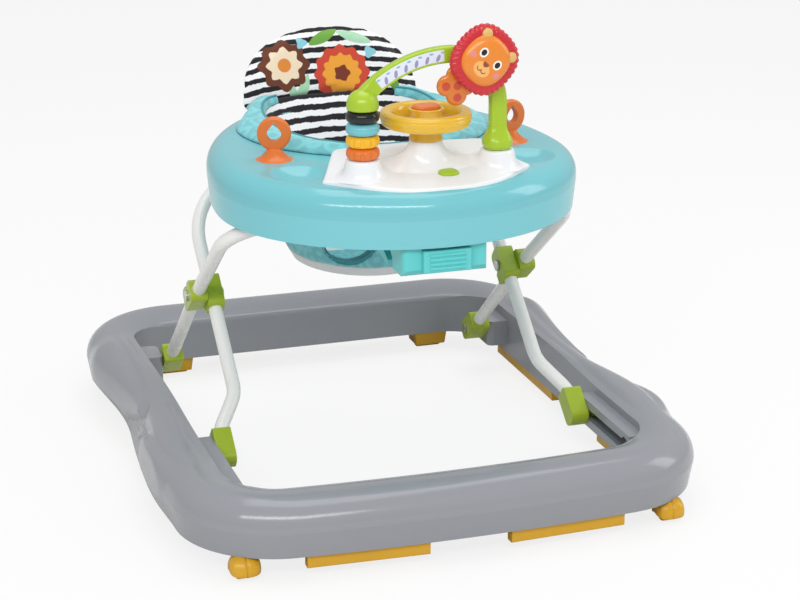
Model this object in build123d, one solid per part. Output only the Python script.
"""Folding baby walker: a base ring on casters, a scissor of two steel U-tubes, and a toy tray with a seat.

Millimetres. Front is -Y, the rider's right is -X, +Z is up; the origin is on the floor under the
ring's middle.
"""

import os
from math import asin, atan2, cos, degrees, hypot, radians, sin, sqrt

from build123d import *

os.makedirs("parts", exist_ok=True)

# Clearances
running_gap = 0.05
press_gap = 0.02
body_gap = 0.4
cloth_gap = 0.4

# Base ring
rail_half_width = 262
rail_rear_y = 325
rail_front_corner_y = -238
rail_corner_radius = 80
front_bow_angle = 4.3
rail_inner_reach = 34
rail_outer_reach = 40
side_wall_x = 244
opening_front_end = -280
opening_front_round = 48
opening_rear_round = 62
rail_stations = (
    (-212, 41.5, 5), (-170, 43.5, 4), (-105, 38, -1), (-45, 25, -10), (15, 18.5, -11),
    (65, 19.5, -5), (115, 24, 0), (180, 33.5, 4), (222, 38.5, 5),
)
rail_bottom = 26
rail_crown = 87
rail_inner_top = 79
rail_inner_corner = 8
shoulder_radius = 32
rail_tuck = 5
rail_wall = 3
rib_thickness = 3

# Friction strips
strip_bottom = 10.5
strip_top = 41.5
strip_width = 12
strip_outset = 25
side_strip_outset = -8
front_strip_span = (46, 180)
side_strip_spans = ((34, 228), (-212, -112))
rear_strip_span = (40, 138)

# Front casters
caster_x = 243
caster_y = -312
caster_trail = 15
caster_wheel_radius = 11
caster_wheel_width = 20
caster_hood_wall = 2.4
caster_cheek = 4
caster_stem_radius = 4
caster_bush_wall = 2
caster_bush_top = 68
caster_axle_radius = 1.5
caster_hood_cut = 8

# Rear wheels
rear_wheel_x = 177
rear_wheel_y = 316
rear_wheel_radius = 14
rear_wheel_width = 34
rear_axle_radius = 2
rear_cup_wall = 3.4
rear_cup_flare = 4
rear_cup_bottom = 7

# Scissor legs
tube_radius = 8
tube_wall = 1.2
pin_height = 58
rear_pin_y = 205
pivot_y = 40
pivot_z = 195
front_leg_x = 186
rear_leg_x = 205
front_foot_x = 214
jog_y = -66
jog_radius = 45
tray_hinge_y = 176
front_crossbar_radius = 105
latch_bar_y = -138
latch_bar_z = 326
rear_crossbar_radius = 62
fold_angle = 33
clamp_length = 44
clamp_depth = 27
rivet_radius = 3
rivet_head_radius = 6.5
rivet_head_height = 2.5

# Feet and guide channels
foot_length = 29
foot_depth = 25
foot_wall = 2.6
foot_tip = 15
tube_end_gap = 9
guide_face_x = 225
guide_depth = 22
guide_half_height = 16
guide_lead = 22
slider_radius = 6
slider_head_radius = 9
slider_head_height = 5
slider_neck = 7
entry_radius = 10.5
boss_face_x = 217.5
boss_length = 46
boss_bottom = 38
rear_pin_radius = 4
rear_pin_grip = 9

# Tray
tray_half_width = 207
tray_middle_y = -88
tray_front_y = -280
tray_rear_y = 200
tray_bottom = 325
tray_parting = 356
tray_deck = 386
tray_floor = 340
tray_wall = 3
tray_shoulder = 24
tray_skirt_draft = 3
opening_half_width = 148
opening_middle_y = 40
opening_front_y = -113
opening_rear_y = 152
opening_lip = 26
well_x = 131
well_y = -158
well_radius = 58
well_depth = 11
screw_radius = 2
screw_head_radius = 4
screw_head_height = 2.4
screw_length = 24
screw_boss_radius = 5
screw_spots = ((60, -240), (170, -120), (185, 0))

# Height adjuster and rear hinge brackets
adjuster_half_width = 48
adjuster_rear_y = -120
adjuster_front_y = -266
adjuster_low_y = -205
adjuster_bottom = 292
adjuster_rear_bottom = 309
notch_rise = 3
notch_shares = (0, 0.4, 0.8)
slot_steps = 11
lever_half_width = 27
lever_height = 25
lever_thickness = 7
lever_travel = 6
lever_prong = 8
lever_prong_length = 20
lever_prong_x = 17
lever_bottom = 296
grip_rib = 1.8
grip_ribs = 4
grip_length = 40
bracket_x = 26
bracket_width = 18
bracket_depth = 24

# Console
console_corner_x = 117
console_corner_y = -199
console_front_y = -249
console_rear_x = 86
console_rear_y = -138
console_rear_bow = 8
console_thickness = 6
console_edge_round = 2.5
post_x = 76
post_y = -214
post_top = 412
post_foot_radius = 25
post_radius = 18
column_y = -198
column_top = 424
column_radius = 17
column_foot = (56, 21)
column_tilt = 0
column_waist = (25.5, 19.5)
column_waist_share = 0.45
column_pin_root = 4
column_pin_radius = 4
column_pin_length = 26

# Push-button
button_x = 15
button_y = -228
button_length = 22
button_width = 13
button_rise = 2.5
button_travel = 2
button_flange = 1.5
button_flange_height = 1.5
button_roof = 1.5
dome_radius = 4

# Rings and arch
spindle_radius = 7
spindle_seat = 10
ring_radius = 18
ring_height = 12.8
ring_round = 5.5
ring_scallops = 10
ring_scallop_radius = 3.2
arch_width = 18
arch_depth = 13
arch_groove = 1.2
arch_rim = 2.4
arch_top_x = 20
arch_top_z = 519
arch_collar_radius = 17
arch_collar_height = 13
arch_foot_radius = 17
arch_foot_height = 24
arch_peg_radius = 5
arch_peg_height = 9

# Lion rattle
lion_angle = 58
lion_offset = 5
lion_pin_radius = 3
lion_pin_head_radius = 5
lion_pin_head_height = 2.5
mane_radius = 39
mane_depth = 11
mane_ribs = 24
mane_rib_radius = 2.6
mane_rib_share = 0.6
face_radius = 27
face_depth = 8
face_round = 5.6
ear_radius = 7.5
ear_spread = 19.4
ear_rise = 21
ear_depth = 4.8
body_depth = 8
body_reach = 39
body_lobe_radius = 11.5
body_lobe_spread = 10.5
body_direction = 225

# Steering wheel
wheel_radius = 42.5
wheel_rim_width = 13
wheel_rim_depth = 21
wheel_rim_round = 5.5
wheel_rim_height = 22.5
hub_radius = 19
hub_height = 34
spoke_width = 12
spoke_height = 7
spokes = 3
horn_length = 31
horn_width = 22
horn_depth = 5
horn_rise = 4
horn_travel = 2
horn_round = 3.2

# Toy loops
loop_x = 139.5
loop_y = -87
loop_foot_radius = 21
loop_foot_height = 13
loop_neck_radius = 7
loop_radius = 19
loop_thickness = 9
loop_hole_radius = 8
loop_hole_peak = 13
loop_peak_angle = 30
loop_waist_height = 5.2
loop_waist_radius = 13
loop_sink = 3
loop_peg_radius = 5
loop_peg_length = 8
loop_turn = 18

# Seat
back_half_width = 108
back_height = 98
back_shoulder = 0.62
back_shoulder_rise = 0.88
back_flank = 0.93
back_thickness = 18
back_lean = 20
back_y = 163
back_crown = 0.9
board_thickness = 3
board_inset = 10
sling_wall = 4
sling_waist_z = 305
sling_waist_half = 112
sling_waist_front = -92
sling_waist_rear = 118
sling_bottom = 229
sling_bottom_half = 74
sling_bottom_front = -52
sling_bottom_rear = 84
leg_hole_x = 46
leg_hole_width = 56
leg_hole_height = 70
leg_hole_z = 280

# Scissor geometry worked out from the pins
lower_arm = hypot(rear_pin_y - pivot_y, pivot_z - pin_height)
lower_angle = degrees(atan2(pivot_z - pin_height, rear_pin_y - pivot_y))
front_pin_y = 2 * pivot_y - rear_pin_y
tray_hinge_z = pivot_z + (tray_hinge_y - pivot_y) * (pivot_z - pin_height) / (rear_pin_y - pivot_y)


def save(name, *solids):
    """Write one node as a STEP file holding the given solids."""
    pieces = [s for solid in solids for s in solid.solids()]
    export_step(pieces[0] if len(pieces) == 1 else Compound(children=pieces), f"parts/{name}.step")


def both(solid):
    """Return the solid and its mirror image on the other side."""
    return solid, mirror(solid, about=Plane.YZ)


def save_sides(name, right):
    """Write the +X piece as NAME_l, the rider's left, and its mirror image as NAME_r."""
    save(f"{name}_l", right)
    save(f"{name}_r", mirror(right, about=Plane.YZ))


def rod(radius, x0, x1, y, z):
    """Round bar along X from x0 to x1."""
    return Pos((x0 + x1) / 2, y, z) * Rot(0, 90, 0) * Cylinder(radius, abs(x1 - x0))


def upright(radius, x, y, z0, z1):
    """Round bar along Z from z0 to z1."""
    return Pos(x, y, (z0 + z1) / 2) * Cylinder(radius, z1 - z0)


def block(x0, x1, y0, y1, z0, z1):
    """Box between two corners."""
    return Pos((x0 + x1) / 2, (y0 + y1) / 2, (z0 + z1) / 2) * Box(abs(x1 - x0), abs(y1 - y0), abs(z1 - z0))


def prism(face, z0, z1):
    """Upright solid on a face between two heights."""
    return extrude(Pos(0, 0, z0) * face, z1 - z0)


def turn_fold(y, z, centre, angle):
    """Turn a side-view point about a centre, positive from +Y to +Z."""
    c = cos(radians(angle))
    s = sin(radians(angle))
    dy = y - centre[0]
    dz = z - centre[1]
    return centre[0] + c * dy - s * dz, centre[1] + s * dy + c * dz


# Base ring
def rail_section(plane, reach, inset, tuck=rail_tuck):
    """Rail section: straight inner wall, domed top, round shoulder; the inset gives the hollow inside it."""
    foot = rail_bottom - (rail_wall if inset else 0)
    inner = -rail_inner_reach + inset
    shoulder_u = reach - shoulder_radius
    radius = shoulder_radius - inset
    shoulder_z = rail_crown - shoulder_radius
    top_run = shoulder_u + rail_inner_reach - rail_inner_corner
    drop = rail_crown - rail_inner_top
    dome = (top_run**2 + drop**2) / (2 * drop)
    slope = asin(top_run / dome)
    dome_z = rail_crown - dome
    top_end = (shoulder_u - (dome - inset) * sin(slope), dome_z + (dome - inset) * cos(slope))
    wall_top = (inner, rail_inner_top - rail_inner_corner)
    bend = 0.7
    bend_point = (
        wall_top[0] + (top_end[0] - wall_top[0]) * (1 - bend),
        wall_top[1] + (top_end[1] - wall_top[1]) * bend,
    )
    crown = (shoulder_u, rail_crown - inset)
    side = (shoulder_u + radius, shoulder_z)
    mid_dome = (shoulder_u - (dome - inset) * sin(slope / 2), dome_z + (dome - inset) * cos(slope / 2))
    mid_shoulder = (shoulder_u + radius * sqrt(0.5), shoulder_z + radius * sqrt(0.5))
    toe = (reach - tuck - inset, foot)
    edges = [
        Line((inner, foot), wall_top),
        ThreePointArc(wall_top, bend_point, top_end),
        ThreePointArc(top_end, mid_dome, crown),
        ThreePointArc(crown, mid_shoulder, side),
        Line(side, toe),
        Line(toe, (inner, foot)),
    ]
    return plane * make_face(edges)


corner_x = rail_half_width - rail_corner_radius
bow = radians(front_bow_angle)
bow_end = (
    corner_x + rail_corner_radius * sin(bow),
    rail_front_corner_y - rail_corner_radius * cos(bow),
)
bow_radius = bow_end[0] / sin(bow)
rail_front_y = bow_end[1] - bow_radius * (1 - cos(bow))


def front_line(x):
    """Y of the front rail's centre line at a given X."""
    return rail_front_y + bow_radius - sqrt(bow_radius**2 - x**2)


def ring_solid(inset):
    """The whole ring: bowed front and rear sweeps joined by lofted side rails."""
    half = sin(radians(45))
    front_mid = (corner_x + rail_corner_radius * half, rail_front_corner_y - rail_corner_radius * half)
    rear_corner_y = rail_rear_y - rail_corner_radius
    rear_mid = (corner_x + rail_corner_radius * half, rear_corner_y + rail_corner_radius * half)
    front_path = Wire([
        ThreePointArc((rail_half_width, rail_front_corner_y), front_mid, bow_end),
        ThreePointArc(bow_end, (0, rail_front_y), (-bow_end[0], bow_end[1])),
        ThreePointArc(
            (-bow_end[0], bow_end[1]), (-front_mid[0], front_mid[1]), (-rail_half_width, rail_front_corner_y)
        ),
    ])
    rear_path = Wire([
        ThreePointArc(
            (-rail_half_width, rear_corner_y), (-rear_mid[0], rear_mid[1]), (-corner_x, rail_rear_y)
        ),
        Line((-corner_x, rail_rear_y), (corner_x, rail_rear_y)),
        ThreePointArc((corner_x, rail_rear_y), rear_mid, (rail_half_width, rear_corner_y)),
    ])
    front_plane = Plane((rail_half_width, rail_front_corner_y, 0), x_dir=(1, 0, 0), z_dir=(0, -1, 0))
    rear_plane = Plane((-rail_half_width, rear_corner_y, 0), x_dir=(-1, 0, 0), z_dir=(0, 1, 0))
    front = sweep(rail_section(front_plane, rail_outer_reach, inset), path=front_path)
    rear = sweep(rail_section(rear_plane, rail_outer_reach, inset), path=rear_path)
    stations = (
        (rail_front_corner_y, rail_outer_reach, rail_tuck),
        *rail_stations,
        (rear_corner_y, rail_outer_reach, rail_tuck),
    )
    sections = [
        rail_section(Plane((rail_half_width, y, 0), x_dir=(1, 0, 0), z_dir=(0, -1, 0)), reach, inset, tuck)
        for y, reach, tuck in stations
    ]
    rail = loft(sections)
    return front + rear + rail + mirror(rail, about=Plane.YZ)


def ring_opening(extra):
    """Upright solid of the opening between the narrow side rails, widened by an extra distance."""
    front = opening_front_end - extra
    rear = rail_rear_y - rail_inner_reach + extra
    wall = side_wall_x + extra
    front_round = opening_front_round + extra
    rear_round = opening_rear_round + extra
    front_x = wall - front_round
    rear_x = wall - rear_round
    half = sqrt(0.5)
    front_mid = (front_x + front_round * half, front + front_round * (1 - half))
    rear_mid = (rear_x + rear_round * half, rear - rear_round * (1 - half))
    right = [
        ThreePointArc((front_x, front), front_mid, (wall, front + front_round)),
        Line((wall, front + front_round), (wall, rear - rear_round)),
        ThreePointArc((wall, rear - rear_round), rear_mid, (rear_x, rear)),
    ]
    ends = [Line((-front_x, front), (front_x, front)), Line((rear_x, rear), (-rear_x, rear))]
    left = [mirror(edge, about=Plane.YZ) for edge in right]
    return prism(make_face([*right, *ends, *left]), 0, 2 * rail_crown)


def strip_ends():
    """Centre-line end points of the friction strips on the +X side: front, two on the side, rear."""
    front = [(x, front_line(x) - strip_outset) for x in front_strip_span]
    side_x = rail_half_width + side_strip_outset
    sides = [[(side_x, y0), (side_x, y1)] for y0, y1 in side_strip_spans]
    rear = [(x, rail_rear_y + strip_outset) for x in rear_strip_span]
    return front, sides, rear


def strip_solid(ends):
    """Strip with a wide ground foot and a narrow upright that seats on ribs in the ring."""
    (x0, y0), (x1, y1) = ends
    length = hypot(x1 - x0, y1 - y0)
    spot = Pos((x0 + x1) / 2, (y0 + y1) / 2, 0) * Rot(0, 0, degrees(atan2(y1 - y0, x1 - x0)))
    foot_top = rail_bottom - body_gap
    foot = Pos(0, 0, (strip_bottom + foot_top) / 2) * Box(length, strip_width, foot_top - strip_bottom)
    foot = fillet(foot.edges().filter_by(Axis.X).group_by(Axis.Z)[0], strip_width / 6)
    web = Box(length - strip_width, strip_width / 2, strip_top - foot_top)
    web = Pos(0, 0, (foot_top + strip_top) / 2) * web
    return spot * (foot + web)


def rib_boxes():
    """Boxes that, cut to the ring's hollow, make the ribs over the strips and the rear wheel cups."""
    front, sides, rear = strip_ends()
    half = rib_thickness / 2
    top = rail_crown
    boxes = []
    for (x0, y0), (x1, y1) in (front, rear):
        for share in (0.2, 0.8):
            x = x0 + share * (x1 - x0)
            y = y0 + share * (y1 - y0)
            boxes.append(block(x - half, x + half, y - 90, y + 90, strip_top, top))
    for (x0, y0), (x1, y1) in sides:
        for share in (0.2, 0.8):
            y = y0 + share * (y1 - y0)
            boxes.append(block(x0 - 90, x0 + 90, y - half, y + half, strip_top, top))
    for side in (-1, 1):
        x = rear_wheel_x + side * rear_wheel_width / 4
        boxes.append(block(x - half, x + half, rear_wheel_y - 60, rear_wheel_y + 90, strip_top, top))
    return boxes


def guide_slots():
    """Stepped slot for the front foot's slider, with the round mouth that it enters by at the front."""
    folded_y = rear_pin_y - 2 * lower_arm * cos(radians(lower_angle - fold_angle))
    middle = (front_pin_y + folded_y) / 2
    run = abs(front_pin_y - folded_y)

    def slot(radius, x0, x1, ahead):
        length = run + ahead
        y = middle - ahead / 2
        body = block(x0, x1, y - length / 2, y + length / 2, pin_height - radius, pin_height + radius)
        ends = [rod(radius, x0, x1, y + side * length / 2, pin_height) for side in (-1, 1)]
        return body + ends

    neck_end = guide_face_x + slider_neck
    back = guide_face_x + guide_depth - rail_wall
    neck = slot(slider_radius + body_gap, guide_face_x - 1, neck_end, guide_lead)
    chamber = slot(slider_head_radius + body_gap, neck_end, back, guide_lead)
    mouth = rod(entry_radius, guide_face_x - 1, neck_end + 1, folded_y - guide_lead, pin_height)
    return neck + chamber + mouth, folded_y


outer_ring = ring_solid(0)
hollow_ring = ring_solid(rail_wall)
opening = ring_opening(0)
wide_opening = ring_opening(rail_wall)
side_walls = outer_ring & (wide_opening - opening)
base = outer_ring - hollow_ring - opening + side_walls
hollow_ring = hollow_ring - wide_opening
guide_cut, folded_pin_y = guide_slots()
ribs = [piece for rib in rib_boxes() for piece in both(rib)]
guide = block(
    guide_face_x,
    guide_face_x + guide_depth,
    folded_pin_y - guide_lead - entry_radius - rail_wall,
    front_pin_y + slider_head_radius + 3 * rail_wall,
    pin_height - guide_half_height,
    pin_height + guide_half_height,
)
rear_boss = block(
    boss_face_x,
    side_wall_x + rail_wall,
    rear_pin_y - boss_length / 2,
    rear_pin_y + boss_length / 2,
    boss_bottom,
    rail_inner_top - rail_inner_corner,
)
rear_boss = fillet(rear_boss.edges().filter_by(Axis.Z).group_by(Axis.X)[0], rail_inner_corner)
caster_boss = upright(
    caster_stem_radius + 2 * caster_bush_wall + rail_wall, caster_x, caster_y, rail_bottom, rail_crown
)
pin_hole = rod(
    rear_pin_radius + press_gap, boss_face_x - 1, boss_face_x + rear_pin_grip, rear_pin_y, pin_height
)
bush_hole = upright(
    caster_stem_radius + caster_bush_wall + press_gap, caster_x, caster_y, rail_bottom - 1, caster_bush_top
)
inside = hollow_ring & (Part() + ribs + list(both(caster_boss)))
base = base + [inside, *both(guide), *both(rear_boss)]
base = base - [piece for tool in (guide_cut, pin_hole, bush_hole) for piece in both(tool)]
save("base_frame", base)

front_ends, side_ends, rear_ends = strip_ends()
save("front_friction_strips", *both(strip_solid(front_ends)))
save("side_friction_strips", *[s for ends in side_ends for s in both(strip_solid(ends))])
save("rear_friction_strips", *both(strip_solid(rear_ends)))


# Front casters
def caster_parts():
    """Bush, hooded fork, wheel and axle of the +X caster, with the wheel ahead of the swivel."""
    wheel_y = caster_y - caster_trail
    centre_z = caster_wheel_radius
    inner_half = caster_wheel_width / 2 + body_gap
    outer_half = inner_half + caster_cheek
    hood_radius = caster_wheel_radius + body_gap + caster_hood_wall
    hood = rod(hood_radius, caster_x - outer_half, caster_x + outer_half, wheel_y, centre_z)
    hood = fillet(hood.edges(), caster_cheek - 1)
    neck_radius = caster_stem_radius + 2 * caster_bush_wall + rail_wall
    plate_bottom = centre_z + hood_radius - 2 * caster_hood_wall
    hood += upright(neck_radius, caster_x, caster_y, plate_bottom, rail_bottom - body_gap)
    inner = caster_x - inner_half, caster_x + inner_half
    hood -= rod(caster_wheel_radius + body_gap, *inner, wheel_y, centre_z)
    reach = 2 * hood_radius
    hood -= block(
        caster_x - reach, caster_x + reach, wheel_y - reach, wheel_y + reach, -hood_radius, caster_hood_cut
    )
    stem_top = caster_bush_top - 2
    hood += upright(caster_stem_radius, caster_x, caster_y, plate_bottom, stem_top)
    hood -= rod(
        caster_axle_radius + press_gap,
        caster_x - outer_half - 1,
        caster_x + outer_half + 1,
        wheel_y,
        centre_z,
    )
    wheel = rod(
        caster_wheel_radius,
        caster_x - caster_wheel_width / 2,
        caster_x + caster_wheel_width / 2,
        wheel_y,
        centre_z,
    )
    wheel = fillet(wheel.edges(), caster_wheel_radius / 4)
    outer = caster_x - outer_half, caster_x + outer_half
    wheel -= rod(caster_axle_radius + running_gap, *outer, wheel_y, centre_z)
    axle = rod(caster_axle_radius, caster_x - outer_half + 1, caster_x + outer_half - 1, wheel_y, centre_z)
    bush = upright(caster_stem_radius + caster_bush_wall, caster_x, caster_y, rail_bottom, caster_bush_top)
    bush -= upright(caster_stem_radius + running_gap, caster_x, caster_y, rail_bottom, caster_bush_top)
    return bush, hood, wheel, axle


caster_bush, caster_fork, caster_wheel, caster_axle = caster_parts()
save("caster_bushes", *both(caster_bush))
save_sides("caster_fork", caster_fork)
save_sides("caster_wheel", caster_wheel)
save_sides("caster_axle", caster_axle)


# Rear wheels
def rear_wheel_parts():
    """Flared cup that hangs under the rear rail, and the roller and axle in it, on the +X side."""
    inner_x = rear_wheel_width / 2 + body_gap
    inner_y = rear_wheel_radius + 1
    low = (inner_x + rear_cup_wall, inner_y + rear_cup_wall - 1)
    high = (low[0] + rear_cup_flare, low[1] + rear_cup_flare)
    spot = Pos(rear_wheel_x, rear_wheel_y, 0)
    sections = [
        Pos(0, 0, z) * RectangleRounded(2 * x, 2 * y, rear_cup_wall)
        for (x, y), z in ((low, rear_cup_bottom), (high, strip_top))
    ]
    cup = loft(sections)
    cavity = block(-inner_x, inner_x, -inner_y, inner_y, 0, 2 * rear_wheel_radius + 1)
    cup -= cavity
    cup -= rod(rear_axle_radius + press_gap, -high[0], high[0], 0, rear_wheel_radius)
    roller = rod(rear_wheel_radius, -rear_wheel_width / 2, rear_wheel_width / 2, 0, rear_wheel_radius)
    roller = fillet(roller.edges(), rear_wheel_radius / 5)
    roller -= rod(rear_axle_radius + running_gap, -high[0], high[0], 0, rear_wheel_radius)
    axle = rod(rear_axle_radius, 1 - low[0], low[0] - 1, 0, rear_wheel_radius)
    return spot * cup, spot * roller, spot * axle


rear_cup, rear_roller, rear_axle = rear_wheel_parts()
save("rear_wheel_cups", *both(rear_cup))
save_sides("rear_wheel", rear_roller)
save("rear_axles", *both(rear_axle))


# Scissor legs
def leg_path(points, radii):
    """Bent centre line of a U-tube from its +X half: the points up to the crossbar corner, mirrored."""
    left = [(-x, y, z) for x, y, z in reversed(points)]
    return FilletPolyline(*points, *left, radius=[*radii, *reversed(radii)])


def tube_along(path, outer, inner=None):
    """Round tube or bar along a bent line."""
    start = Plane(path @ 0, z_dir=path % 0)
    face = Circle(outer) - Circle(inner) if inner else Circle(outer)
    return sweep(start * face, path=path)


def toward(y, z, to_y, to_z, distance):
    """Side-view point that lies a distance from the first point toward the second."""
    length = hypot(to_y - y, to_z - z)
    return y + (to_y - y) * distance / length, z + (to_z - z) * distance / length


front_end = toward(front_pin_y, pin_height, pivot_y, pivot_z, tube_end_gap)
rear_end = toward(rear_pin_y, pin_height, pivot_y, pivot_z, tube_end_gap)
jog_z = pin_height + (jog_y - front_pin_y) * (pivot_z - pin_height) / (pivot_y - front_pin_y)
front_foot_top = toward(front_pin_y, pin_height, pivot_y, pivot_z, foot_length)
front_points = [
    (front_foot_x, *front_end),
    (front_foot_x, *front_foot_top),
    (front_leg_x, jog_y, jog_z),
    (front_leg_x, tray_hinge_y, tray_hinge_z),
]
front_path = leg_path(front_points, [jog_radius, jog_radius, front_crossbar_radius])
rear_points = [
    (rear_leg_x, *rear_end),
    (rear_leg_x, pivot_y, pivot_z),
    (rear_leg_x, latch_bar_y, latch_bar_z),
]
rear_path = leg_path(rear_points, [4 * rear_crossbar_radius, rear_crossbar_radius])
rivet_bore = rod(
    rivet_radius + running_gap, front_leg_x - 4 * tube_radius, rear_leg_x + 4 * tube_radius, pivot_y, pivot_z
)


def drill(solid):
    """Put the rivet's bore through a piece on both sides."""
    for piece in both(rivet_bore):
        solid -= piece
    return solid


front_tube = drill(tube_along(front_path, tube_radius, tube_radius - tube_wall))
rear_tube = drill(tube_along(rear_path, tube_radius, tube_radius - tube_wall))
save("front_leg_tube", front_tube)
save("rear_leg_tube", rear_tube)
front_socket = tube_along(front_path, tube_radius + press_gap)
rear_socket = tube_along(rear_path, tube_radius + press_gap)


def along_leg(x, y, z, to_y, to_z):
    """Placement with local Z along the leg and local X along the global X axis."""
    return Location(Plane((x, y, z), x_dir=(1, 0, 0), z_dir=(0, to_y - y, to_z - z)))


def clamp_half(x0, x1, angle_point, socket):
    """Rounded sleeve round one tube at the crossing, with a waist cut in its far side."""
    spot = along_leg((x0 + x1) / 2, pivot_y, pivot_z, *angle_point)
    body = Box(x1 - x0, clamp_depth, clamp_length)
    body = fillet(body.edges().filter_by(Axis.X), clamp_depth / 4)
    waist = Pos(0, clamp_depth / 2, 0) * Rot(0, 90, 0) * Cylinder(clamp_depth / 5, 2 * clamp_length)
    return drill(spot * (body - waist) - socket)


clamp_plane = (front_leg_x + rear_leg_x) / 2
clamp_wall = tube_radius + foot_wall
inner_clamp = clamp_half(
    front_leg_x - clamp_wall, clamp_plane - body_gap / 2, (tray_hinge_y, tray_hinge_z), front_socket
)
outer_clamp = clamp_half(
    clamp_plane + body_gap / 2, rear_leg_x + clamp_wall, (latch_bar_y, latch_bar_z), rear_socket
)
save_sides("pivot_inner_half", inner_clamp)
save_sides("pivot_outer_half", outer_clamp)
rivet = rod(rivet_radius, front_leg_x - clamp_wall, rear_leg_x + clamp_wall, pivot_y, pivot_z)
for face_x, sign in ((front_leg_x - clamp_wall - body_gap, -1), (rear_leg_x + clamp_wall, 1)):
    rivet += rod(rivet_head_radius, face_x, face_x + sign * rivet_head_height, pivot_y, pivot_z)
rivet += rod(
    rivet_radius, front_leg_x - clamp_wall - body_gap - 1, front_leg_x - clamp_wall, pivot_y, pivot_z
)
save("pivot_rivets", *both(rivet))


def foot_solid(x0, x1, pin_y, socket):
    """Rounded shoe on a tube's lower end, with the pin's bore through it."""
    spot = along_leg((x0 + x1) / 2, pin_y, pin_height, pivot_y, pivot_z)
    length = foot_length + foot_tip
    body = Pos(0, 0, foot_length - length / 2) * Box(x1 - x0, foot_depth, length)
    tip = body.edges().filter_by(Axis.X).group_by(Axis.Z)[0]
    body = fillet(tip, foot_depth / 2.6)
    top = body.edges().filter_by(Axis.X).group_by(Axis.Z)[-1]
    body = fillet(top, foot_depth / 6)
    return spot * body - socket


front_foot_half = guide_face_x - body_gap - front_foot_x
front_shoe = foot_solid(
    front_foot_x - front_foot_half, front_foot_x + front_foot_half, front_pin_y, front_socket
)
slider_x = front_foot_x - front_foot_half / 2
head_x = guide_face_x + slider_neck + body_gap
front_shoe -= rod(slider_radius + press_gap, slider_x, head_x, front_pin_y, pin_height)
front_shoe = front_shoe.solids().sort_by(SortBy.VOLUME)[-1]
slider = rod(slider_radius, slider_x, head_x, front_pin_y, pin_height)
slider += rod(slider_head_radius, head_x, head_x + slider_head_height, front_pin_y, pin_height)
slider -= front_socket
slider = slider.solids().sort_by(SortBy.VOLUME)[-1]
save_sides("front_foot", front_shoe)
save("slider_pins", *both(slider))

rear_shoe_x1 = boss_face_x - body_gap
rear_shoe_x0 = 2 * rear_leg_x - rear_shoe_x1
rear_shoe = foot_solid(rear_shoe_x0, rear_shoe_x1, rear_pin_y, rear_socket)
rear_shoe -= rod(rear_pin_radius + running_gap, rear_shoe_x0 - 1, rear_shoe_x1 + 1, rear_pin_y, pin_height)
save_sides("rear_foot", rear_shoe)
rear_pin = rod(rear_pin_radius, rear_shoe_x0, boss_face_x + rear_pin_grip, rear_pin_y, pin_height)
rear_pin += rod(
    rivet_head_radius,
    rear_shoe_x0 - body_gap - rivet_head_height,
    rear_shoe_x0 - body_gap,
    rear_pin_y,
    pin_height,
)
rear_pin += rod(rear_pin_radius, rear_shoe_x0 - body_gap - 1, rear_shoe_x0 + 1, rear_pin_y, pin_height)
save("rear_foot_pins", *both(rear_pin))


# Tray
def egg(half_width, middle_y, front_y, rear_y):
    """Egg outline of two half ellipses that meet at the widest line."""
    front = EllipticalCenterArc((0, middle_y), half_width, middle_y - front_y, 180, arc_size=180)
    rear = EllipticalCenterArc((0, middle_y), half_width, rear_y - middle_y, 0, arc_size=180)
    return make_face([front, rear])


def tray_egg(inset):
    """The tray's outline, moved inwards."""
    return egg(tray_half_width - inset, tray_middle_y, tray_front_y + inset, tray_rear_y - inset)


def opening_egg(outset):
    """The seat opening's outline, moved outwards."""
    return egg(
        opening_half_width + outset, opening_middle_y, opening_front_y - outset, opening_rear_y + outset
    )


def domed(inset, z0, z1, radius):
    """Tray outline raised between two heights with its upper edge rounded."""
    solid = prism(tray_egg(inset), z0, z1)
    return fillet(solid.edges().group_by(Axis.Z)[-1], radius)


def well_ball(extra):
    """Ball that hollows one snack well, grown by an extra radius for the underside."""
    centre_z = tray_deck + well_radius - well_depth
    return Pos(well_x, well_y, centre_z) * Sphere(well_radius + extra)


screw_points = [(side * x, y) for x, y in screw_spots for side in (-1, 1)]
upper = domed(0, tray_parting, tray_deck, tray_shoulder)
upper_hollow = domed(tray_wall, tray_parting, tray_deck - tray_wall, tray_shoulder - tray_wall)
upper_hollow = upper_hollow - list(both(well_ball(tray_wall)))
lip_ring = prism(opening_egg(tray_wall) - opening_egg(0), tray_deck - opening_lip, tray_deck - tray_wall)
bosses = [upright(screw_boss_radius, x, y, tray_floor + tray_wall, tray_parting) for x, y in screw_points]
bosses += [
    upright(screw_boss_radius, x, y, tray_parting, tray_deck) & upper for x, y in screw_points
]
upper = upper - [upper_hollow, *both(well_ball(0)), prism(opening_egg(0), tray_parting, tray_deck)]
upper = upper + [lip_ring, *bosses]
screw_bores = [
    upright(screw_radius + running_gap, x, y, tray_floor, tray_floor + screw_length) for x, y in screw_points
]
loop_bores = [
    upright(loop_peg_radius + press_gap, side * loop_x, loop_y, tray_deck - loop_peg_length, tray_deck)
    for side in (-1, 1)
]
upper = upper - [*screw_bores, *loop_bores]
save("tray_upper", upper)

skirt = loft([
    Pos(0, 0, tray_bottom) * tray_egg(tray_skirt_draft),
    Pos(0, 0, tray_parting) * tray_egg(0),
])
skirt_hollow = loft([
    Pos(0, 0, tray_bottom - tray_wall) * tray_egg(tray_skirt_draft + tray_wall),
    Pos(0, 0, tray_parting) * tray_egg(tray_wall),
])
floor_top = tray_floor + tray_wall
floor_slab = block(-tray_half_width, tray_half_width, tray_front_y, tray_rear_y, tray_floor, floor_top)
floor_slab = (floor_slab & skirt) - prism(opening_egg(tray_wall + body_gap), tray_floor, floor_top)
lower = skirt - skirt_hollow + floor_slab - screw_bores
save("tray_lower", lower)

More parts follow.
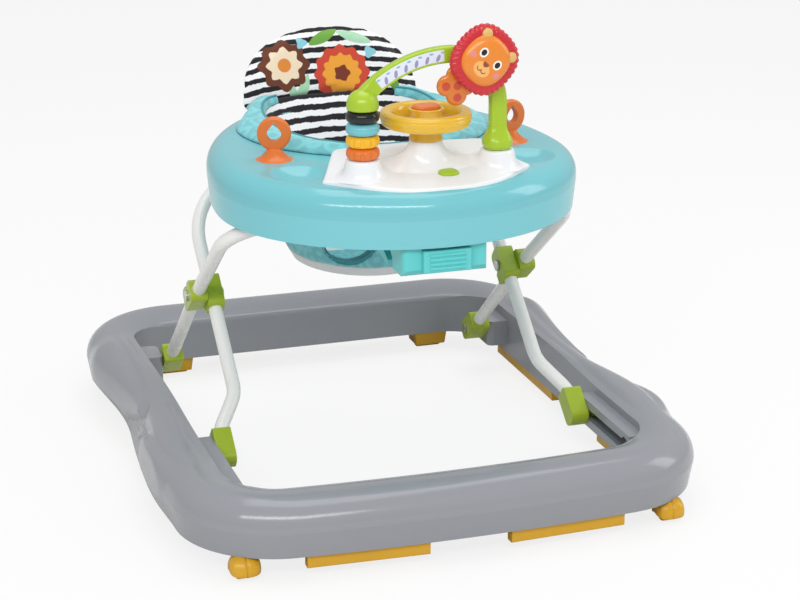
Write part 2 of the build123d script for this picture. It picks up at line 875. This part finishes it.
screws = []
for x, y in screw_points:
    head = upright(screw_head_radius, x, y, tray_floor - screw_head_height, tray_floor)
    screws.append(head + upright(screw_radius, x, y, tray_floor, tray_floor + screw_length - 1))
save("tray_screws", *screws)


# Rear hinge brackets and height adjuster
def bracket_solid():
    """Hanger on the +X side of the tray's rear, with the front leg's crossbar in its eye."""
    eye = tube_radius + running_gap
    half = bracket_width / 2
    hanger = block(
        bracket_x - half,
        bracket_x + half,
        tray_hinge_y - bracket_depth / 2,
        tray_hinge_y + bracket_depth / 2,
        tray_hinge_z, tray_floor,
    )
    hanger += rod(bracket_depth / 2 + 1, bracket_x - half, bracket_x + half, tray_hinge_y, tray_hinge_z)
    return hanger - rod(eye, bracket_x - half, bracket_x + half, tray_hinge_y, tray_hinge_z)


save("crossbar_brackets", *both(bracket_solid()))


def latch_bar_at(angle):
    """Where the rear leg's crossbar stands in the tray's own frame when the fold is at an angle."""
    rear_pin = (rear_pin_y, pin_height)
    pivot = turn_fold(pivot_y, pivot_z, rear_pin, angle)
    bar = turn_fold(latch_bar_y, latch_bar_z, rear_pin, angle)
    hinge_run = (tray_hinge_y - pivot_y, tray_hinge_z - pivot_z)
    hinge_turned = turn_fold(*hinge_run, (0, 0), -angle)
    shift = (pivot[0] + hinge_turned[0] - tray_hinge_y, pivot[1] + hinge_turned[1] - tray_hinge_z)
    return bar[0] - shift[0], bar[1] - shift[1]


def side_slab(face, half_width):
    """Solid on a side-view face (Y, Z), centred on the middle plane."""
    return extrude(Plane.YZ * face, half_width, both=True)


def adjuster_housing():
    """Block under the tray's front, with the curved slot of the rear crossbar, open at its folded end."""
    profile = Polyline(
        (adjuster_rear_y, tray_floor),
        (adjuster_rear_y, adjuster_rear_bottom),
        (adjuster_low_y, adjuster_bottom),
        (adjuster_front_y + lever_thickness, adjuster_bottom),
        (adjuster_front_y, adjuster_bottom + lever_thickness),
        (adjuster_front_y, tray_floor),
        close=True,
    )
    housing = side_slab(make_face(profile), adjuster_half_width)
    upright_edges = housing.edges().filter_by(Axis.Z).group_by(Axis.Y)[0]
    housing = fillet(upright_edges, lever_thickness)
    width = 2 * (tube_radius + body_gap)
    points = [latch_bar_at(fold_angle * step / slot_steps) for step in range(slot_steps + 1)]
    runs = []
    for (y0, z0), (y1, z1) in zip(points, points[1:]):
        middle = Pos((y0 + y1) / 2, (z0 + z1) / 2) * Rot(0, 0, degrees(atan2(z1 - z0, y1 - y0)))
        runs.append(middle * SlotCenterToCenter(hypot(y1 - y0, z1 - z0), width))
    notches = []
    for share in notch_shares:
        y, z = latch_bar_at(share * fold_angle)
        notches.append(Pos(y, z + notch_rise) * Circle(width / 2))
    end_y, end_z = points[-1]
    mouth_bottom = adjuster_bottom - tray_wall
    mouth = Pos(end_y, (end_z + mouth_bottom) / 2) * Rectangle(width, end_z - mouth_bottom)
    housing -= side_slab(Sketch() + runs + notches + mouth, adjuster_half_width + tray_wall)
    pocket = lever_prong / 2 + body_gap
    for side in (-1, 1):
        x = side * lever_prong_x
        z = lever_bottom + lever_prong / 2
        depth = adjuster_front_y + lever_prong_length + body_gap
        housing -= block(x - pocket, x + pocket, adjuster_front_y - 1, depth, z - pocket, z + pocket)
    return housing


def lever_solid():
    """Release lever: a ribbed grip plate in front of the block on two prongs that run in its pockets."""
    back = adjuster_front_y - body_gap
    lever_top = lever_bottom + lever_height
    plate = block(-lever_half_width, lever_half_width, back - lever_thickness, back, lever_bottom, lever_top)
    plate = fillet(plate.edges().group_by(Axis.Y)[0], lever_thickness / 3)
    for side in (-1, 1):
        x = side * lever_prong_x
        half = lever_prong / 2
        plate += block(x - half, x + half, back, adjuster_front_y + lever_prong_length - lever_travel,
                       lever_bottom, lever_bottom + lever_prong)
    for step in range(1, grip_ribs + 1):
        z = lever_bottom + lever_height * step / (grip_ribs + 1)
        grip = Rot(0, 90, 0) * Cylinder(grip_rib, grip_length)
        plate += Pos(0, back - lever_thickness, z) * grip
    return plate


save("adjuster_housing", adjuster_housing())
save("adjuster_lever", lever_solid())


# Console
column_axis = (0, sin(radians(column_tilt)), cos(radians(column_tilt)))
wheel_place = Plane((0, column_y, column_top), x_dir=(1, 0, 0), z_dir=column_axis)


def console_solid():
    """White console: a thin plate with a domed column, two posts, and the pockets of its toys."""
    front = ThreePointArc(
        (-console_corner_x, console_corner_y), (0, console_front_y), (console_corner_x, console_corner_y)
    )
    rear = ThreePointArc(
        (console_rear_x, console_rear_y),
        (0, console_rear_y + console_rear_bow),
        (-console_rear_x, console_rear_y),
    )
    outline = make_face([
        front,
        Line((console_corner_x, console_corner_y), (console_rear_x, console_rear_y)),
        rear,
        Line((-console_rear_x, console_rear_y), (-console_corner_x, console_corner_y)),
    ])
    top = tray_deck + console_thickness
    plate = prism(outline, tray_deck, top)
    plate = fillet(plate.edges().group_by(Axis.Z)[-1], console_edge_round)
    column = loft([
        Pos(0, column_y, tray_deck) * Ellipse(*column_foot),
        Pos(0, column_y, top + (column_top - top) * column_waist_share) * Ellipse(*column_waist),
        wheel_place * Circle(column_radius),
    ])
    posts = [
        loft([
            Pos(side * post_x, post_y, top - 1) * Circle(post_foot_radius),
            Pos(side * post_x, post_y, post_top) * Circle(post_radius),
        ])
        for side in (-1, 1)
    ]
    pin = Cylinder(column_pin_radius, column_pin_length + column_pin_root)
    pin = wheel_place * Pos(0, 0, (column_pin_length - column_pin_root) / 2) * pin
    peg = upright(arch_peg_radius, post_x, post_y, post_top - 1, post_top + arch_peg_height)
    console = plate + [column, *posts, pin, peg]
    seat_z = post_top - spindle_seat
    spindle_bore = upright(spindle_radius + press_gap, -post_x, post_y, seat_z, post_top + 1)
    gap = 2 * body_gap
    well = spot * SlotOverall(button_length + gap, button_width + gap)
    flange = 2 * button_flange + gap
    chamber = spot * SlotOverall(button_length + flange, button_width + flange)
    well = prism(well, tray_deck, top + 1)
    return console - [spindle_bore, well, prism(chamber, tray_deck, button_ceiling)]


console_top = tray_deck + console_thickness
button_ceiling = console_top - button_roof
spot = Pos(button_x, button_y, 0)
save("console", console_solid())

flange_top = button_ceiling - body_gap / 4
flange_bottom = flange_top - button_flange_height
button = prism(spot * SlotOverall(button_length, button_width), flange_bottom, console_top + button_rise)
button = fillet(button.edges().group_by(Axis.Z)[-1], button_rise / 2)
button += prism(
    spot * SlotOverall(button_length + 2 * button_flange, button_width + 2 * button_flange),
    flange_bottom, flange_top,
)
save("console_button", button)
dome_top = flange_bottom - button_travel - body_gap / 4
dome = loft([
    Pos(button_x, button_y, tray_deck) * Circle(dome_radius),
    Pos(button_x, button_y, dome_top) * Circle(dome_radius / 2),
])
save("button_dome", dome)


# Rings, spindle and arch
ring_names = ("orange", "yellow", "teal", "black")
ring_pitch = ring_height + body_gap
stack_top = post_top + body_gap + len(ring_names) * ring_pitch


def ring_solid_at(index):
    """One toy ring of the stack; the two lower ones have scalloped sides."""
    z0 = post_top + body_gap + index * ring_pitch
    ring = upright(ring_radius, -post_x, post_y, z0, z0 + ring_height)
    ring = fillet(ring.edges(), ring_round)
    if index < 2:
        notches = [
            Pos(-post_x, post_y, 0) * Rot(0, 0, 360 * n / ring_scallops)
            * upright(ring_scallop_radius, ring_radius + ring_scallop_radius / 2, 0, z0, z0 + ring_height)
            for n in range(ring_scallops)
        ]
        ring = ring - notches
    return ring - upright(spindle_radius + running_gap, -post_x, post_y, z0, z0 + ring_height)


for index, name in enumerate(ring_names):
    save(f"ring_{name}", ring_solid_at(index))
spindle_top = stack_top + arch_collar_height / 2
save("ring_spindle", upright(spindle_radius, -post_x, post_y, post_top - spindle_seat + 1, spindle_top))

arch_start_z = stack_top + arch_collar_height
arch_rise = arch_top_z - arch_start_z
arch_run = arch_top_x + post_x
arch_left_radius = (arch_run**2 + arch_rise**2) / (2 * arch_rise)
arch_right_radius = post_x - arch_top_x
arch_right_z = arch_top_z - arch_right_radius


def arch_solid():
    """Toy arch: a grooved band over two arcs and a straight leg, with a collar and a flared foot."""
    lean = asin(arch_run / arch_left_radius) / 2
    half = sin(radians(45))
    top = (arch_top_x, post_y, arch_top_z)
    left_mid = (
        arch_top_x - arch_left_radius * sin(lean), post_y, arch_top_z - arch_left_radius * (1 - cos(lean)),
    )
    right_mid = (
        arch_top_x + arch_right_radius * half, post_y, arch_right_z + arch_right_radius * half,
    )
    foot_top = post_top + arch_foot_height
    path = Wire([
        ThreePointArc((-post_x, post_y, arch_start_z), left_mid, top),
        ThreePointArc(top, right_mid, (post_x, post_y, arch_right_z)),
        Line((post_x, post_y, arch_right_z), (post_x, post_y, foot_top - 2)),
    ])
    start = Plane(path @ 0, x_dir=(0, 1, 0), z_dir=path % 0)
    band = RectangleRounded(arch_depth, arch_width, arch_rim)
    groove = Pos(-arch_depth / 2, 0) * Rectangle(2 * arch_groove, arch_width - 2 * arch_rim)
    arch = sweep(start * (band - groove), path=path)
    collar = upright(arch_collar_radius, -post_x, post_y, stack_top, stack_top + arch_collar_height)
    collar = fillet(collar.edges().group_by(Axis.Z)[-1], arch_collar_height - 2)
    foot = loft([
        Pos(post_x, post_y, post_top) * Circle(arch_foot_radius),
        Pos(post_x, post_y, foot_top) * Ellipse(arch_width / 2 + 1, arch_depth / 2 + 1),
    ])
    arch = arch + [collar, foot]
    bores = [
        upright(spindle_radius + press_gap, -post_x, post_y, stack_top - 1, spindle_top + 1),
        upright(arch_peg_radius + press_gap, post_x, post_y, post_top - 1, post_top + arch_peg_height + 1),
        lion_rod(lion_pin_radius + press_gap, post_y - arch_depth, post_y + arch_depth),
    ]
    return arch - bores


lion_x = arch_top_x + (arch_right_radius + lion_offset) * cos(radians(lion_angle))
lion_z = arch_right_z + (arch_right_radius + lion_offset) * sin(radians(lion_angle))


def lion_rod(radius, y0, y1):
    """Round bar along Y on the lion's axle."""
    return Pos(lion_x, (y0 + y1) / 2, lion_z) * Rot(90, 0, 0) * Cylinder(radius, abs(y1 - y0))


save("toy_arch", arch_solid())


# Lion rattle
arch_face_y = post_y - arch_depth / 2
body_back = arch_face_y - body_gap
body_front = body_back - body_depth
mane_front = body_front - mane_depth
face_front = mane_front - face_depth


def lion_plane(y):
    """Plane on the rattle's axis at a depth, facing the front, with local X along global X."""
    return Plane((lion_x, y, lion_z), x_dir=(1, 0, 0), z_dir=(0, -1, 0))


def lion_parts():
    """Paddle body of four lobes, ribbed mane ring and domed face with two ears."""
    eye = lion_rod(lion_pin_radius + running_gap, body_back + 1, face_front - 1)
    away = radians(body_direction)
    centre = (body_reach * cos(away), body_reach * sin(away))
    lobes = Sketch() + [
        Pos(*centre) * Rot(0, 0, body_direction + turn) * Pos(body_lobe_spread, 0) * Circle(body_lobe_radius)
        for turn in (45, 135, 225, 315)
    ]
    neck = Rot(0, 0, body_direction) * Pos(body_reach / 2, 0) * Rectangle(body_reach, body_lobe_radius)
    hub = Circle(body_lobe_radius)
    body = extrude(lion_plane(body_back) * (lobes + neck + hub), body_depth) - eye
    disc = extrude(lion_plane(body_front) * Circle(mane_radius - mane_rib_radius), mane_depth)
    disc = fillet(disc.edges(), mane_depth / 3)
    ribs = [
        lion_plane(body_front)
        * Rot(0, 0, 360 * n / mane_ribs)
        * Pos(mane_radius - mane_rib_radius - 1, 0, mane_depth / 2)
        * Cylinder(mane_rib_radius, mane_depth * mane_rib_share)
        for n in range(mane_ribs)
    ]
    mane = disc + ribs - eye
    ears = [
        lion_plane(mane_front)
        * Rot(0, 0, body_direction - 270)
        * Pos(side * ear_spread, ear_rise, ear_depth / 2)
        * Cylinder(ear_radius, ear_depth)
        for side in (-1, 1)
    ]
    face = extrude(lion_plane(mane_front) * Circle(face_radius), face_depth)
    face = fillet(face.edges().group_by(Axis.Y)[0], face_round)
    pocket_end = mane_front - lion_pin_head_height - body_gap
    pocket = lion_rod(lion_pin_head_radius + body_gap, mane_front + 1, pocket_end)
    face = face + ears - pocket
    return body, mane, face


lion_body, lion_mane, lion_face = lion_parts()
save("lion_body", lion_body)
save("lion_mane", lion_mane)
save("lion_face", lion_face)
lion_pin = lion_rod(lion_pin_radius, post_y + arch_depth / 2, mane_front)
lion_pin += lion_rod(lion_pin_head_radius, mane_front - body_gap / 2, mane_front - lion_pin_head_height)
lion_pin += lion_rod(lion_pin_radius, mane_front + 1, mane_front - 1)
save("lion_pin", lion_pin)


# Steering wheel
def steering_parts():
    """Rim, spokes and hub that turn on the column's pin, with the horn cap in the hub's oval pocket."""
    rim_face = RectangleRounded(wheel_rim_width, wheel_rim_depth, wheel_rim_round)
    rim = revolve(Plane.XZ * Pos(wheel_radius, wheel_rim_height) * rim_face, Axis.Z)
    hub = Pos(0, 0, body_gap + hub_height / 2) * Cylinder(hub_radius, hub_height)
    hub = fillet(hub.edges().group_by(Axis.Z)[-1], 2)
    arms = [
        Rot(0, 0, 90 + 360 * n / spokes)
        * Pos(wheel_radius / 2, 0, wheel_rim_height)
        * Box(wheel_radius, spoke_width, spoke_height)
        for n in range(spokes)
    ]
    wheel = rim + [hub, *arms]
    top = body_gap + hub_height
    gap = 2 * body_gap
    pocket = prism(SlotOverall(horn_length + gap, horn_width + gap), top - horn_depth, top + 1)
    bore = Pos(0, 0, hub_height / 2 - horn_depth) * Cylinder(column_pin_radius + running_gap, hub_height)
    wheel = wheel - [pocket, bore]
    cap_bottom = top - horn_depth + horn_travel + body_gap
    cap = prism(SlotOverall(horn_length, horn_width), cap_bottom, top + horn_rise)
    cap = fillet(cap.edges().group_by(Axis.Z)[-1], horn_round)
    return wheel_place * wheel, wheel_place * cap


steering_wheel, horn_cap = steering_parts()
save("steering_wheel", steering_wheel)
save("horn_button", horn_cap)


# Toy loops
def toy_loop():
    """Loop on the +X side: a flared foot with a peg in the deck, and a flat ring with a teardrop hole."""
    centre_z = tray_deck + loop_foot_height + loop_radius - loop_sink
    foot = loft([
        Pos(0, 0, tray_deck) * Circle(loop_foot_radius),
        Pos(0, 0, tray_deck + loop_waist_height) * Circle(loop_waist_radius),
        Pos(0, 0, tray_deck + loop_foot_height) * Circle(loop_neck_radius),
    ])
    touch_x = loop_hole_radius * cos(radians(loop_peak_angle))
    touch_z = loop_hole_radius * sin(radians(loop_peak_angle))
    peak = Polyline((-touch_x, touch_z), (0, loop_hole_peak), (touch_x, touch_z), close=True)
    ring = Circle(loop_radius) - Circle(loop_hole_radius) - make_face(peak)
    upright_plane = Plane((0, 0, centre_z), x_dir=(1, 0, 0), z_dir=(0, -1, 0))
    hoop = extrude(upright_plane * ring, loop_thickness / 2, both=True)
    rims = hoop.edges().filter_by(GeomType.CIRCLE).filter_by(lambda e: e.radius > loop_hole_radius + 1)
    hoop = fillet(rims, loop_thickness / 3)
    peg = upright(loop_peg_radius, 0, 0, tray_deck - loop_peg_length, tray_deck)
    return Pos(loop_x, loop_y, 0) * Rot(0, 0, loop_turn) * (foot + [hoop, peg])


save_sides("toy_loop", toy_loop())


# Seat
def back_outline(scale):
    """Rounded back-rest outline, standing on its lower edge, drawn in by a scale about its middle."""
    shoulder = back_half_width * back_shoulder
    shoulder_z = back_height * back_shoulder_rise
    flank = back_half_width * back_flank
    middle = back_height / 2
    left = ThreePointArc((-back_half_width, 0), (-flank, middle), (-shoulder, shoulder_z))
    top = ThreePointArc((-shoulder, shoulder_z), (0, back_height), (shoulder, shoulder_z))
    right = ThreePointArc((shoulder, shoulder_z), (flank, middle), (back_half_width, 0))
    face = make_face([left, top, right, Line((back_half_width, 0), (-back_half_width, 0))])
    return Pos(0, middle) * scale_face(face, scale) if scale != 1 else face


def scale_face(face, factor):
    """Scale a back-rest face about its own mid-height."""
    return scale(Pos(0, -back_height / 2) * face, factor)


lean = radians(back_lean)
back_plane = Plane((0, back_y, tray_deck), x_dir=(1, 0, 0), z_dir=(0, -cos(lean), sin(lean)))
above_deck = block(
    -tray_half_width, tray_half_width, 0, 2 * tray_rear_y, tray_deck + cloth_gap, tray_deck + 2 * back_height
)
half_pad = back_thickness / 2
pad = loft([
    back_plane * Pos(0, 0, offset) * back_outline(factor)
    for offset, factor in ((-half_pad, back_crown), (0, 1), (half_pad, back_crown))
])
save("seat_back_pad", pad & above_deck)
board_plane = back_plane * Pos(0, 0, -half_pad - cloth_gap - board_thickness)
board = extrude(board_plane * back_outline(1 - board_inset / back_half_width), board_thickness)
deck_up = block(-tray_half_width, tray_half_width, 0, 2 * tray_rear_y, tray_deck, tray_deck + 2 * back_height)
foot_board = extrude(board_plane * Rectangle(back_half_width, back_height / 2), board_thickness)
save("seat_back_board", (board + foot_board) & deck_up)


def sling_body(inset):
    """Hanging seat: from the opening's edge through a waist to a narrow bottom."""
    levels = (
        (opening_half_width, opening_front_y, opening_rear_y, tray_deck - tray_wall),
        (sling_waist_half, sling_waist_front, sling_waist_rear, sling_waist_z),
        (sling_bottom_half, sling_bottom_front, sling_bottom_rear, sling_bottom),
    )
    sections = []
    for half, front_y, rear_y, z in levels:
        middle = opening_middle_y
        face = egg(half - cloth_gap - inset, middle, front_y + cloth_gap + inset, rear_y - cloth_gap - inset)
        rise = sling_wall if inset and z == sling_bottom else 0
        sections.append(Pos(0, 0, z + rise) * face)
    return loft(sections)


sling = sling_body(0) - sling_body(sling_wall)
leg_hole = Pos(leg_hole_x, 0, leg_hole_z) * Rot(90, 0, 0) * extrude(
    Ellipse(leg_hole_width / 2, leg_hole_height / 2), opening_middle_y - opening_front_y + tray_wall
)
sling = sling - list(both(leg_hole))
save("seat_sling", sling)
